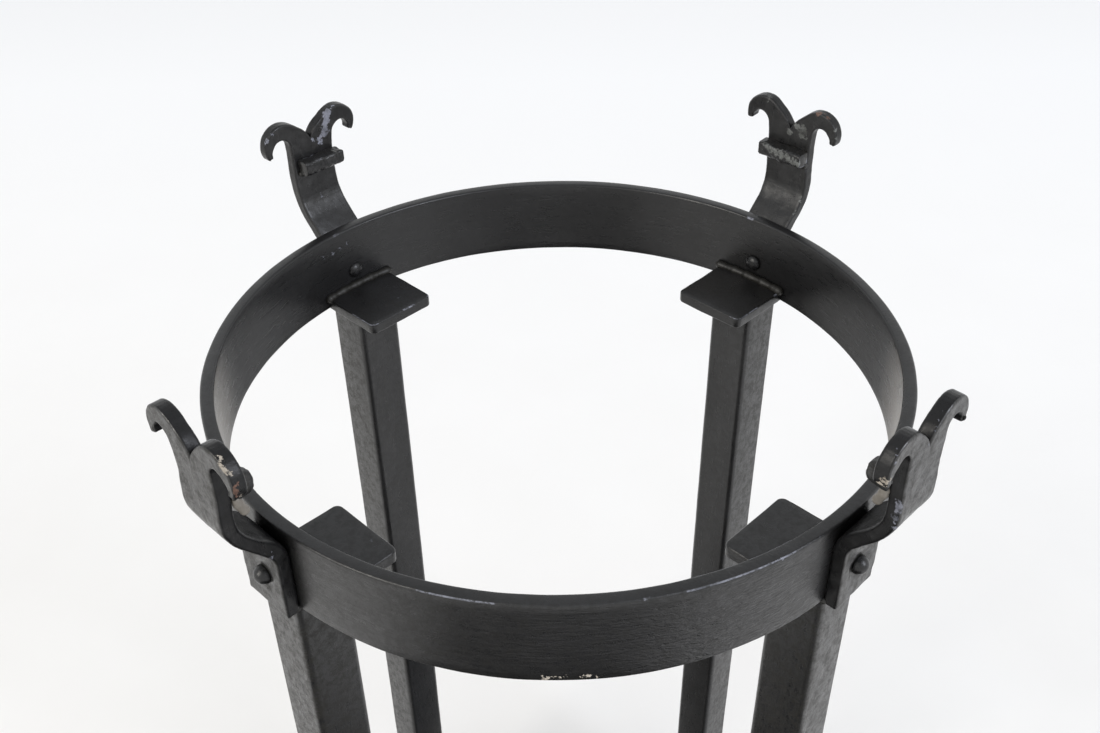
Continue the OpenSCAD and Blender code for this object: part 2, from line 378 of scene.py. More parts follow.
# %% Hammering
def hammer(obj, depth, mark):
    """Moves the surface in and out by up to about half of depth, over patches of the size of mark."""
    name = "clouds_%g" % (mark / MM)
    clouds = bpy.data.textures.get(name) or bpy.data.textures.new(name, "CLOUDS")
    clouds.noise_scale = mark
    clouds.noise_depth = 1
    modify(obj, "DISPLACE", texture=clouds, strength=depth, mid_level=0.5, texture_coords="LOCAL")


def hammer_all(pieces, *marks):
    """Hammers and smooths each of the pieces. A mark is its depth and its size, in mm."""
    for piece in pieces.values():
        for depth, size in marks:
            hammer(piece, depth * MM, size * MM)
        smooth(piece)


# %% [markdown]
# ## The ring
#
# The ring is one flat bar, set on edge and rolled round. Its section is a narrow upright rectangle with
# softly rounded corners. A plane gives the section, a vertex bevel rounds its corners, and a spin
# carries it round the axis. A cylinder with a hole would give the same walls but not the round edges.

# %% Ring
bpy.ops.object.select_all(action="DESELECT")
ring_mid = (ring_in + ring_out) / 2
bpy.ops.mesh.primitive_plane_add(size=1, location=(ring_mid, 0, (ring_low + ring_top) / 2),
                                 rotation=(math.pi / 2, 0, 0))
ring = bpy.context.object
ring.scale = (ring_out - ring_in, ring_top - ring_low, 1)
settle(ring, "ring")
edit(ring)
bpy.ops.mesh.bevel(offset=1.2 * MM, segments=4, affect="VERTICES")
bpy.ops.mesh.select_all(action="SELECT")
bpy.ops.mesh.delete(type="ONLY_FACE")
pick(ring, "EDGE", lambda middle, run: abs(run.z) > 0.99)
bpy.ops.mesh.subdivide(number_cuts=11)
bpy.ops.mesh.select_all(action="SELECT")
bpy.ops.mesh.spin(steps=320, angle=2 * math.pi, center=(0, 0, 0), axis=(0, 0, 1))
close(ring)
edit(ring)
bpy.ops.transform.resize(value=(1.006, 1, 1), center_override=(-60 * MM, 0, 0))
bpy.ops.object.mode_set(mode="OBJECT")
mark_edges(ring)
hammer(ring, 0.5 * MM, 45 * MM)
hammer(ring, 0.12 * MM, 12 * MM)
smooth(ring)
print("ring faces:", len(ring.data.polygons))

# %% [markdown]
# ## The bracket
#
# The smith starts with a flat bar, sets two bends in it and splits its top with a chisel. We do the
# same: the bar's section is extruded up, spun out, extruded along the slope, spun back and extruded up
# again. Then each half of the top face is spun by itself over a hook, which makes a horn of constant
# width, and the horn is drawn out: its points slide towards the hook until the outer edge lies on the
# wanted curl.

# %% The bar with its two bends
hook_y = BAR_W / 2 + HOOK_R
hook_z = ring_top + HORN_HIGH - CREST_T - HOOK_R
curl_y = BAR_W / 2 + HORN_OUT - CURL_R
curl_z = ring_top + HORN_HIGH - CURL_R
upright_in = ring_out + STAND_OFF
upright_out = upright_in + BAR_T
slope = (STAND_OFF - (LOW_BEND_R + HIGH_BEND_R) * (1 - math.cos(BEND))) / math.sin(BEND)


def turn(steps, angle, center, axis):
    """Spins the chosen end. The operator turns clockwise for a positive angle, so the sign is changed."""
    bpy.ops.mesh.spin(steps=steps, angle=-angle, center=center, axis=axis)


def draw_up(x, z, steps):
    """Extrudes the chosen end by x outwards and z upwards, in equal steps."""
    for _ in range(steps):
        bpy.ops.mesh.extrude_region_move(TRANSFORM_OT_translate={"value": (x / steps, 0, z / steps)})


def end_height(obj):
    return max(v.co.z for v in bmesh.from_edit_mesh(obj.data).verts)


bpy.ops.mesh.primitive_grid_add(x_subdivisions=2, y_subdivisions=8, size=1,
                                location=(ring_out + BAR_T / 2, 0, ring_top - TANG_DROP))
bracket = bpy.context.object
bracket.scale = (BAR_T, BAR_W, 1)
settle(bracket, "bracket")
edit(bracket)
draw_up(0, TANG_DROP - BEND_DROP, 10)
low_centre = (ring_out + BAR_T / 2 + LOW_BEND_R, 0, ring_top - BEND_DROP)
turn(8, BEND, low_centre, (0, 1, 0))
draw_up(slope * math.sin(BEND), slope * math.cos(BEND), 3)
high_z = ring_top - BEND_DROP + (LOW_BEND_R + HIGH_BEND_R) * math.sin(BEND) + slope * math.cos(BEND)
high_centre = (upright_out - BAR_T / 2 - HIGH_BEND_R, 0, high_z)
turn(8, -BEND, high_centre, (0, 1, 0))
print("bends end %.1f mm above the ring, planned %.1f"
      % ((end_height(bracket) - ring_top) / MM, (high_z - ring_top) / MM))
draw_up(0, hook_z - high_z, 9)

# %% The two horns
HORN_STEPS = 24
TIP_ANGLE = math.pi + TIP_TURN
for side in (1, -1):
    pick(bracket, "FACE", lambda c, n: c.z > hook_z - 0.1 * MM and c.y * side > 0)
    turn(HORN_STEPS, -side * TIP_ANGLE, (0, side * hook_y, hook_z), (1, 0, 0))
close(bracket)


def ease(value, low, high):
    """0 below low, 1 above high, and a smooth rise between them."""
    share = min(1, max(0, (value - low) / (high - low)))
    return share * share * (3 - 2 * share)


def outline_reach(angle):
    """How far the horn's outer edge lies from the hook's centre, in a direction in the bar's plane. The
    edge runs from the notch along a flank, swollen a little, and then round the curl."""
    y, z = math.cos(angle), math.sin(angle)
    curl = (curl_y - hook_y, curl_z - hook_z)
    along = y * curl[0] + z * curl[1]
    on_curl = along + math.sqrt(along ** 2 - curl[0] ** 2 - curl[1] ** 2 + CURL_R ** 2)
    notch = (-hook_y, ring_top + NOTCH_HIGH - hook_z)
    to_curl = (curl[0] - notch[0], curl[1] - notch[1])
    far = math.hypot(*to_curl)
    lean = math.atan2(to_curl[1], to_curl[0]) + math.asin(CURL_R / far)
    cross = y * math.sin(lean) - z * math.cos(lean)
    on_flank = (notch[0] * math.sin(lean) - notch[1] * math.cos(lean)) / cross if cross else far
    touch = math.atan2(curl[1] + CURL_R * math.cos(lean), curl[0] - CURL_R * math.sin(lean))
    swell = FLANK_SWELL * math.sin(math.pi * (angle - touch) / (math.pi - touch))
    return on_flank + swell if angle > touch else on_curl


def draw_out_horns(obj):
    """Slides the horns' points towards the hook, out to their outline, and sinks the notch."""
    for v in obj.data.vertices:
        side = 1 if v.co.y > 0 else -1
        y, z = side * v.co.y - hook_y, v.co.z - hook_z
        angle = math.atan2(z, y)
        below_horn = z < -0.01 * MM and (angle < -TIP_TURN - 0.1 or y < 0)
        if below_horn or abs(angle) > math.pi - 0.02:
            continue
        inner = HOOK_R + TIP_TAPER * ease(-angle, -0.6, TIP_TURN)
        share = (math.hypot(y, z) - HOOK_R) / (hook_y - HOOK_R)
        distance = inner + share * (outline_reach(angle) - inner)
        v.co.y = side * (hook_y + distance * math.cos(angle))
        v.co.z = hook_z + distance * math.sin(angle)
    for v in obj.data.vertices:
        if abs(v.co.y) < 0.01 * MM and abs(v.co.z - hook_z) < 0.01 * MM:
            v.co.z = ring_top + NOTCH_HIGH


def clear_tips(obj, reach):
    """Takes out the cross edges within reach of the horns' tips, so that the tips' rounding has room."""
    shape = bmesh.new()
    shape.from_mesh(obj.data)

    def turned(v):
        return math.atan2(v.co.z - hook_z, abs(v.co.y) - hook_y) + TIP_TURN

    crowded = [e for e in shape.edges if all(0.02 < turned(v) < reach / HOOK_R for v in e.verts)
               and abs(turned(e.verts[0]) - turned(e.verts[1])) < 0.01]
    bmesh.ops.dissolve_edges(shape, edges=crowded, use_verts=True)
    shape.to_mesh(obj.data)
    shape.free()
    return len(crowded)


draw_out_horns(bracket)
print("cross edges cleared at the tips:", clear_tips(bracket, 1.4 * MM))
crest = max(v.co.z for v in bracket.data.vertices) - ring_top
print("horn span %.1f mm, crest %.1f mm" % (bracket.dimensions.y / MM, crest / MM))

# %% Round the edges, sink the rivet's seat and set one bracket at each corner
round_edges(bracket, 1.0 * MM, 3, 35)
modify(bracket, "SUBSURF", subdivision_type="SIMPLE", levels=2, render_levels=2)
edit(bracket)
pick(bracket, "VERT", lambda p, n: p.x > ring_out + BAR_T - 0.2 * MM
     and math.hypot(p.y, p.z - ring_top + RIVET_DROP) < 4.6 * MM)
bpy.ops.transform.translate(value=(-0.8 * MM, 0, 0), use_proportional_edit=True,
                            proportional_edit_falloff="SMOOTH", proportional_size=4 * MM)
bpy.ops.object.mode_set(mode="OBJECT")
mark_flanks(bracket)


# How far each bracket leans out and to its left, then for its left and right horn: how much further
# it reaches, how much higher it stands (all in mm) and how much less its tip curls (in degrees).
HAND = {
    "front_left": (1.1, 0.0, (0.0, 0.0, 0), (1.2, 0.0, 4)),
    "front_right": (0.5, 0.0, (0.0, -1.4, 0), (0.0, 0.0, 4)),
    "back_left": (0.0, 1.7, (0.3, 0.0, 0), (1.7, 0.0, 4)),
    "back_right": (0.0, 0.6, (1.3, 0.6, 20), (0.9, 0.9, 16)),
}
# How much tighter each upper bend was set (mm), and how far the tang spread to its left or right (mm).
TIGHT = {"front_left": 1.1, "front_right": 0.7, "back_left": 0.3, "back_right": 0.5}
SPREAD = {"front_left": -1.2, "front_right": 0.6, "back_left": 0, "back_right": 0}


def forge_by_hand(piece, corner):
    """Gives one bracket its own lean and its own pair of horns."""
    out, left, *horns = HAND[corner]
    for v in piece.data.vertices:
        up = (v.co.z - ring_top) / MM
        lean = ease(up, 5, 28)
        for side, (reach_out, rise, uncurl) in zip((1, -1), horns):
            y, z = side * v.co.y - hook_y, v.co.z - hook_z
            horn = ease(up, 36, 50) * ease(side * v.co.y / MM, 1, 12)
            if y > -HOOK_R * 1.6 and z > -8 * MM and up > 34:
                angle = math.atan2(z, y)
                bend = math.radians(uncurl) * ease(-angle, -math.pi / 2, TIP_TURN)
                far = math.hypot(y, z)
                if angle > -math.pi / 2:
                    v.co.y = side * (hook_y + far * math.cos(angle + bend))
                    v.co.z = hook_z + far * math.sin(angle + bend)
            v.co.y += side * reach_out * MM * horn
            v.co.z += rise * MM * horn
        bulge = ease(up, 6, 17) * ease(-up, -34, -18) - 1.2 * ease(up, -10, 0) * ease(-up, -10, 0)
        v.co.x += (out * lean + TIGHT[corner] * bulge) * MM
        to_side = v.co.y / MM * math.copysign(1, SPREAD[corner])
        v.co.y += (left * lean + SPREAD[corner] * ease(-up, 14, 22) * ease(to_side, 2, 10)) * MM


brackets = copies_at_corners(bracket, "bracket", forge_by_hand)
hammer_all(brackets, (0.7, 16), (0.3, 5))
print("bracket faces:", len(brackets["front_left"].data.polygons))

# %% [markdown]
# ## The collar bar
#
# A short thick bar sits across each bracket just under the horns, as the collar that the split needed.
# Its front corners are dressed round with the hammer and its ends are a little ragged. A cube is set
# to size, its front edges are bevelled wide, the rest narrow, and it is hammered hard.

# %% Collar bar
collar_mid = ring_top + COLLAR_Z + COLLAR_H / 2
collar_x = upright_in - COLLAR_T / 2 + 0.3 * MM
collar = block("collar", (collar_x, 0, collar_mid), (COLLAR_T, COLLAR_LEN, COLLAR_H))
edit(collar)
for high, rounding in ((True, 1.5 * MM), (False, 2.4 * MM)):
    pick(collar, "EDGE", lambda middle, run: abs(run.y) > 0.9 and middle.x < upright_in - COLLAR_T / 2
         and (middle.z > collar_mid) == high)
    bpy.ops.mesh.bevel(offset=rounding, segments=3, profile=0.5)
pick(collar, "EDGE", lambda middle, run: abs(run.y) > 0.9)
bpy.ops.mesh.subdivide(number_cuts=14)
close(collar)
round_edges(collar, 0.6 * MM, 2, 35)
modify(collar, "SUBSURF", subdivision_type="SIMPLE", levels=2, render_levels=2)
# Which end of a front collar points at the viewer, and how much shorter one back collar is.
NEAR_SIDE = {"front_left": 1, "front_right": -1}
SHORTER = {"back_left": 2.4 * MM}


def slide_collar(piece, corner):
    """Each collar follows its bracket's lean and sits a little off centre. The front two are thicker at
    their near ends, where they were set down last and spread."""
    out, left = HAND[corner][:2]
    for v in piece.data.vertices:
        spread = ease(NEAR_SIDE.get(corner, 0) * v.co.y / MM, 2, 10)
        inward = (upright_in - v.co.x) / COLLAR_T
        v.co.x += (out - 1.5 * spread * inward) * MM
        v.co.z += (6 - 4.5 * inward) * MM * spread * (v.co.z - ring_top - COLLAR_Z) / COLLAR_H
        v.co.y += left * MM + COLLAR_SHIFT[corner] - SHORTER.get(corner, 0) * ease(v.co.y / MM, 2, 12)


collars = copies_at_corners(collar, "collar", slide_collar)
hammer_all(collars, (1.2, 6), (0.7, 2.2))
print("collar faces:", len(collars["front_left"].data.polygons))

# %% [markdown]
# ## The rivets
#
# A rivet is a pin with a round head at both ends. The second head is hammered down hot, so neither is a
# perfect dome. Half a sphere, scaled to the head's height, makes each head; a cylinder makes the shank.


# %% Rivet
def dome(name, place, radius, height, towards):
    """A round head that stands on a wall at place, towards +X or -X."""
    bpy.ops.mesh.primitive_uv_sphere_add(segments=32, ring_count=20, radius=1, location=place,
                                         rotation=(0, math.pi / 2, 0))
    head = bpy.context.object
    head.scale = (radius, radius, height)
    settle(head, name)
    edit(head)
    bpy.ops.mesh.bisect(plane_co=place, plane_no=(towards, 0, 0), use_fill=True, clear_inner=True)
    close(head)
    return head


rivet_z = ring_top - RIVET_DROP
outer_head = dome("outer_head", (ring_out + BAR_T - 0.5 * MM, 0, rivet_z), 4.2 * MM, 4.3 * MM, 1)
inner_head = dome("inner_head", (ring_in + 0.1 * MM, 0, rivet_z), 4.3 * MM, 2.7 * MM, -1)
bpy.ops.mesh.primitive_cylinder_add(vertices=32, radius=3 * MM, depth=ring_out + BAR_T - ring_in - 1 * MM,
                                    location=((ring_in + ring_out + BAR_T) / 2, 0, rivet_z),
                                    rotation=(0, math.pi / 2, 0))
shank = settle(bpy.context.object, "shank")
rivets = copies_at_corners(join("rivet", [outer_head, inner_head, shank]), "rivet")
hammer_all(rivets, (0.15, 3.2))
print("rivet faces:", len(rivets["front_left"].data.polygons))

# %% [markdown]
# ## The pads
#
# A pad is a piece of flat bar welded inside the ring, over the leg. Its two free corners are ground
# round. The end against the ring runs a little into the ring's wall, where the weld has eaten it.

# %% Pad
pad_out = ring_in + 0.6 * MM
bpy.ops.mesh.primitive_grid_add(x_subdivisions=12, y_subdivisions=12, size=1,
                                location=((pad_tip + pad_out) / 2, 0, ring_low))
pad = bpy.context.object
pad.scale = (pad_out - pad_tip, PAD_W, 1)
settle(pad, "pad")
edit(pad)
pick(pad, "VERT", lambda p, n: p.x < pad_tip + 0.1 * MM and abs(p.y) > PAD_W / 2 - 0.1 * MM)
bpy.ops.mesh.bevel(offset=PAD_CORNER, segments=7, affect="VERTICES")
bpy.ops.mesh.select_mode(type="FACE")
bpy.ops.mesh.select_all(action="SELECT")
draw_up(0, pad_top - ring_low, 2)
close(pad)
round_edges(pad, 0.9 * MM, 3, 50)
pads = copies_at_corners(pad, "pad")
hammer_all(pads, (0.5, 14))
print("pad faces:", len(pads["front_left"].data.polygons))

# %% [markdown]
# ## Weld beads
#
# A hand-welded bead is a row of small puddles, each laid half over the last. So one small ball is
# set down again and again along the seam, and a voxel remesh melts the row into one bead. The size of
# the puddles varies by a fixed wave, not by chance, so every run gives the same bead.


# %% Laying a bead
def bead(name, points, radius):
    """A bead of overlapping puddles, one at each point."""
    puddles = []
    for i, place in enumerate(points):
        size = radius * (1 + 0.12 * math.sin(i * 0.9) + 0.08 * math.sin(i * 2.3))
        bpy.ops.mesh.primitive_uv_sphere_add(segments=14, ring_count=8, radius=size, location=place)
        puddles.append(settle(bpy.context.object, "puddle"))
    whole = join(name, puddles)
    modify(whole, "REMESH", mode="VOXEL", voxel_size=0.45 * MM, use_smooth_shade=True)
    modify(whole, "SMOOTH", factor=0.5, iterations=18)
    smooth(whole, 80)
    return whole


def along(a, b, pitch):
    """Points from a to b, about pitch apart."""
    a, b = Vector(a), Vector(b)
    count = max(1, round((b - a).length / pitch))
    return [a.lerp(b, i / count) for i in range(count + 1)]


# %% Beads between pad and ring
BEAD_R = 2.2 * MM
half_seam = math.asin(PAD_W / 2 / ring_in)
seam_r = ring_in - 0.7 * MM
seam = [(seam_r * math.cos(a), seam_r * math.sin(a), pad_top + 0.6 * MM)
        for a in [half_seam * (i / 15 - 1) for i in range(31)]]
pad_welds = copies_at_corners(bead("pad_weld", seam, BEAD_R), "pad_weld")
print("bead faces:", len(pad_welds["front_left"].data.polygons))

# %% Beads round the legs' tops, tacks under the collars
def stand_askew(piece, corner):
    """Moves a leg's piece a little to the left or right of the true corner."""
    turned = Matrix.Rotation(math.radians(-CORNERS[corner]), 4, "Z") @ Vector((LEG_SHIFT[corner], 0, 0))
    piece.data.transform(Matrix.Translation(turned))


low_edge = ring_low - 0.3 * MM
inner_leg, outer_leg, edge_y = LEG_MID - LEG_W / 2, LEG_MID + LEG_W / 2, LEG_W / 2
leg_seam = []
for a, b in (((inner_leg, -edge_y), (inner_leg, edge_y)), ((inner_leg, edge_y), (outer_leg, edge_y)),
             ((outer_leg, -edge_y), (inner_leg, -edge_y))):
    leg_seam += along((*a, low_edge), (*b, low_edge), 1.8 * MM)
leg_welds = copies_at_corners(bead("leg_weld", leg_seam, 1.7 * MM), "leg_weld", stand_askew)
tack_z = ring_top + COLLAR_Z - 0.2 * MM
tack = [(upright_in - 0.6 * MM, y * MM, tack_z) for y in (-11, -9.4, -7.6, 7.6, 9.4, 11)]
tacks = copies_at_corners(bead("collar_tack", tack, 1.9 * MM), "collar_tack")
drip = [(ring_out + out * MM, 12.2 * MM, ring_top + up * MM)
        for out, up in ((15.6, 28), (15.2, 26), (14.4, 24), (13.4, 21.8))]


def mirror_drip(piece, corner):
    """The lump of weld hangs at the near side of each front collar."""
    piece.data.transform(Matrix.Diagonal((1, NEAR_SIDE.get(corner, 1), 1, 1)))
    if corner == "front_right":
        piece.data.flip_normals()


drips = copies_at_corners(bead("collar_drip", drip, 2.0 * MM), "collar_drip", mirror_drip)
for corner in ("back_left", "back_right"):
    bpy.data.objects.remove(drips.pop(corner))
print("tack faces:", len(tacks["front_left"].data.polygons))

# %% [markdown]
# ## Legs and caps
#
# The legs are square steel tube with softly rounded corners, open inside. A plane is rounded at its
# four corners, inset by the wall, its middle removed, and the frame that is left is drawn up. Plastic
# caps plug the ends and stand on the floor.


# %% Leg tube
def leg_section(name, z):
    """The leg's outline at height z, as one face open in edit mode."""
    bpy.ops.mesh.primitive_plane_add(size=LEG_W, location=(LEG_MID, 0, z))
    section = settle(bpy.context.object, name)
    edit(section)
    bpy.ops.mesh.bevel(offset=LEG_CORNER, segments=7, affect="VERTICES")
    bpy.ops.mesh.select_mode(type="FACE")
    return section


leg = leg_section("leg", leg_low)
bpy.ops.mesh.inset(thickness=LEG_WALL, use_even_offset=True)
bpy.ops.mesh.delete(type="FACE")
bpy.ops.mesh.select_all(action="SELECT")
draw_up(0, leg_high - leg_low, 56)
close(leg)
legs = copies_at_corners(leg, "leg", stand_askew)
hammer_all(legs, (0.45, 40))
print("leg faces:", len(legs["front_left"].data.polygons))

# %% Leg cap
cap = leg_section("cap", 0)
draw_up(0, leg_low, 1)
bpy.ops.mesh.inset(thickness=LEG_WALL + 0.2 * MM, use_even_offset=True)
draw_up(0, 20 * MM, 1)
close(cap)
round_edges(cap, 0.7 * MM, 3, 60)
smooth(cap)
caps = copies_at_corners(cap, "cap", stand_askew)
print("cap faces:", len(caps["front_left"].data.polygons))

# %% [markdown]
# ## Cross bars, studs and tray
#
# Low down, two flat bars cross in a half lap and carry the drip tray. A bar is a cube set to length;
# a boolean cuts the half lap, because the cut runs clean across. The tray is pressed from one round
# sheet: a disc is drawn out in rings over its bend and up its wall, thickened, and given a rolled rim.


# %% Cross bars
def cross_bar(name, degrees, notch_up):
    """A flat bar along a diagonal with half of its thickness cut away at the middle."""
    length = 2 * (inner_leg + 1 * MM)
    thick = cross_high - cross_low
    mid_z = (cross_low + cross_high) / 2
    bar = block(name, (0, 0, mid_z), (length, CROSS_W, thick))
    cutter = block("cutter", (0, 0, mid_z + notch_up * thick), (CROSS_W + 0.4 * MM, 2 * CROSS_W, 2 * thick))
    modify(bar, "BOOLEAN", operation="DIFFERENCE", object=cutter, solver="EXACT")
    bpy.data.objects.remove(cutter)
    round_edges(bar, 0.8 * MM, 3)
    bar.data.transform(Matrix.Rotation(math.radians(degrees), 4, "Z"))
    smooth(bar)
    return bar


cross_bars = {
    "cross_bar_lower": cross_bar("bar_lower", CORNERS["front_left"], 1),
    "cross_bar_upper": cross_bar("bar_upper", CORNERS["front_right"], -1),
}
seam_x, seam_y = inner_leg - 0.4 * MM, CROSS_W / 2 - 1 * MM
end_seam = along((seam_x, -seam_y, cross_high), (seam_x, seam_y, cross_high), 2.6 * MM)
bar_welds = copies_at_corners(bead("bar_weld", end_seam, 2.2 * MM), "bar_weld")
print("cross bars:", {n: len(b.data.polygons) for n, b in cross_bars.items()})

# %% Studs that keep the tray in place
STUD_R = 4 * MM
stud_x = sum(reach("tray_stud_front_left")) / 2
bpy.ops.mesh.primitive_cylinder_add(vertices=40, radius=STUD_R, depth=stud_high - cross_high,
                                    location=(stud_x, 0, (stud_high + cross_high) / 2))
stud = settle(bpy.context.object, "stud")
round_edges(stud, 1.9 * MM, 6, 60)
studs = copies_at_corners(stud, "stud")
hammer_all(studs, (0.35, 4))
print("stud faces:", len(studs["front_left"].data.polygons))

# %% Drip tray
SHEET = 1.2 * MM
TRAY_BEND = 6 * MM
wall_r = tray_rim - 2 * RIM_R + SHEET
bpy.ops.mesh.primitive_circle_add(vertices=160, radius=wall_r - TRAY_BEND, fill_type="NGON",
                                  location=(0, 0, tray_low))
tray = settle(bpy.context.object, "tray")
edit(tray)
bpy.ops.mesh.select_mode(type="FACE")
for inward, lift in ((10, 0), (2, 1.0), (2.5, 0), (2, -1.0), (40, 0)):
    bpy.ops.mesh.inset(thickness=inward * MM)
    bpy.ops.transform.translate(value=(0, 0, lift * MM))
pick(tray, "EDGE", lambda middle, run: math.hypot(middle.x, middle.y) > wall_r - TRAY_BEND - 0.2 * MM)
BEND_STEPS = 8
for i in range(1, BEND_STEPS + 1):
    a0, a1 = (math.pi / 2 * k / BEND_STEPS for k in (i - 1, i))
    grow = (wall_r - TRAY_BEND + TRAY_BEND * math.sin(a1)) / (wall_r - TRAY_BEND + TRAY_BEND * math.sin(a0))
    rise = TRAY_BEND * (math.cos(a0) - math.cos(a1))
    bpy.ops.mesh.extrude_region_move(TRANSFORM_OT_translate={"value": (0, 0, rise)})
    bpy.ops.transform.resize(value=(grow, grow, 1), center_override=(0, 0, 0))
wall_high = tray_high - RIM_R - tray_low - TRAY_BEND
bpy.ops.mesh.extrude_region_move(TRANSFORM_OT_translate={"value": (0, 0, wall_high)})
close(tray)
modify(tray, "SOLIDIFY", thickness=SHEET, offset=-1)
bpy.ops.mesh.primitive_torus_add(major_segments=160, minor_segments=20, major_radius=tray_rim - RIM_R,
                                 minor_radius=RIM_R, location=(0, 0, tray_high - RIM_R))
rim = settle(bpy.context.object, "rim")
tray = join("tray", [tray, rim])
smooth(tray, 35)
print("tray faces:", len(tray.data.polygons), "box", [round(d / MM, 1) for d in tray.dimensions])

# %% [markdown]
# ## Black enamel over forged iron
#
# The finish is oil enamel laid on with a brush. It is a dielectric film over dark iron, so it isn't
# metallic: its colour is nearly black and what the eye sees is mostly the room mirrored in the film.
# Faces that are handled mirror a little more and dust mirrors less. The narrow sides are made to mirror less as
# well, which paints shade into them, and the IOR carries all of that. The brush leaves long shallow ridges, round
# the ring and up and down the bars. A noise that is stretched along one axis draws them, and its scale is worked
# out from a ridge's size.
#
# Along some edges the film has chipped down to steel, pale filler or rust. Some pale lines and flecks in the
# steel and grey tones are painted highlights instead: along the ring's top edge, on one collar's front and up
# some horns' flanks. Along the pads' edges they are worn paint and painted highlight together.

# %% Where the enamel is rubbed or chipped
RIDGE, RIDGE_RUN = 1.2 * MM, 11 * MM


def spots(corner, tone, *places):
    """Worn places and painted highlights of one tone: steel, grey, cream filler or rust. Each has its distance
    outside the ring, along it and above its top, its radius, all in mm, and a cover: under 1 it leaves islands of
    enamel."""
    a, found = math.radians(CORNERS[corner]), []
    for out, along_ring, up, radius, *cover in places:
        r, side = ring_out + out * MM, along_ring * MM
        x, y = r * math.cos(a) - side * math.sin(a), r * math.sin(a) + side * math.cos(a)
        found.append(((x, y, ring_top + up * MM), radius * MM, (*cover, 1.0)[0], tone))
    return found


HORN_WEAR_AND_HIGHLIGHTS = [
    *spots("back_left", "steel", (16, -10.5, 55.5, 3.8, 0.93), (16, -9.8, 53, 4.6, 0.93),
           (16, -8.8, 50, 5, 0.93), (16, -7.8, 47, 4.6, 0.93), (16, -6.4, 44, 3.8, 0.9),
           (16, -3.4, 41.5, 4.2, 0.9), (16, 0.4, 44, 3, 0.9), (16, 27.6, 52, 3.6, 0.95),
           (16, 23.8, 55, 1.4), (17, -14.2, 56.5, 2.2), (15, 12.9, 12.4, 1.8), (15, 0.8, 11.7, 1.4)),
    # Among back_right's grey places, the three small ones at 21 mm out, up the horn's flank from the notch, are a
    # painted highlight line, and the row at 8.6 mm out along the collar's front is painted highlight; the others
    # are worn paint.
    *spots("back_right", "grey", (16, 0.6, 43.3, 4.4, 0.88), (16, -3.7, 46.8, 4.5, 0.87),
           (16, -6.9, 44.6, 5.5, 0.88), (16, -7.4, 48.2, 4.5, 0.87), (17, 15.1, 57.2, 4, 0.8),
           (21, 12.5, 53.7, 1.4), (21, 9.4, 50.5, 1.4), (21, 5.4, 47, 1.4), (17, -26, 52.5, 2.4),
           (17, -27, 48.6, 2.2), (8.6, 10, 35, 4, 0.86), (8.6, 6.5, 34, 4.5, 0.86), (8.6, 3, 34, 4.5, 0.86),
           (8.6, -1, 33, 5, 0.88), (8.6, -4.5, 33, 5, 0.86), (8.6, -8, 32, 5, 0.88),
           (8.6, -11, 31.5, 4.4, 0.9), (13, -12.5, 9.8, 4.5, 0.9), (9.7, -12.5, 4.1, 3.5, 0.9)),
    *spots("back_right", "rust", (17, -15.3, 57.7, 3.6, 0.88), (17, -20, 57, 3.2, 0.9)),
    *spots("front_left", "cream", (22, 20.6, 55.4, 2.4, 0.9), (22, 21.7, 54.7, 2.8, 0.9),
           (22, 22.7, 54, 2.6, 0.9), (22, 23.7, 53.1, 2.8, 0.9), (21.8, 24.6, 52, 2.4, 0.9),
           (20, 26.4, 41.5, 3, 0.92), (13, 14, 33, 3, 0.85)),
    *spots("front_left", "rust", (21.6, 26.9, 47.5, 2.2), (21.6, 27.2, 45.5, 2.4), (21.4, 26.8, 43.4, 2.4)),
    *spots("front_left", "steel", (7, 12.5, -6, 2.2, 0.82), (8, 8, -4, 2, 0.8), (20, -16, 53, 2.4, 0.8)),
    *spots("front_right", "cream", (21, -26.5, 44.5, 3.2, 0.95), (20, -25.5, 42, 3.4, 0.95)),
    # Among front_right's steel places, the small ones at 22.5 mm out, from -1.2 to 8 mm along, run up the far
    # horn's flank from the notch as a painted highlight line; the others are chips.
    *spots("front_right", "steel", (22.4, -12.8, 22.2, 4.4, 0.88), (21.6, -12.8, 25, 3.4, 0.86),
           (21.5, -12.8, 18, 3.8, 0.87), (21.8, -12.8, 14, 3.4, 0.86), (22.5, -22.2, 55.4, 1.6, 0.9),
           (22.5, -24.4, 51.9, 1.6, 0.9), (22.5, -1.2, 45.6, 1.5), (22.5, 1.8, 49.2, 1.2),
           (22.5, 3.2, 50.5, 1.2), (22.5, 4.9, 51.8, 1.3), (22.5, 8, 54, 1.1, 0.9)),
]
RING_WEAR = [
    *spots("back_left", "steel", (-7, 20, -8.7, 1.7), (-6.6, 13.7, -8.8, 1.6), (-6.2, 8.2, -8.9, 1.6),
           (-6, 3.3, -8, 1.5)),
    *spots("front_left", "steel", (-6, -24, 0, 2.4, 0.85), (-6, -34, 0, 2.4, 0.85), (-4, -70, 0, 2, 0.8),
           (2, 100, -6, 1.2), (2, 108, -8, 1)),
    *spots("front_right", "steel", (-6, 26, 0, 2.2, 0.85), (-6, 40, 0, 1.6), (-1, -22, 0, 1.6),
           (-5, -40, 0, 1.4)),
    *spots("back_right", "steel", (-1, -50, 0, 1.8, 0.85), (-1, -66, 0, 1.4)),
]
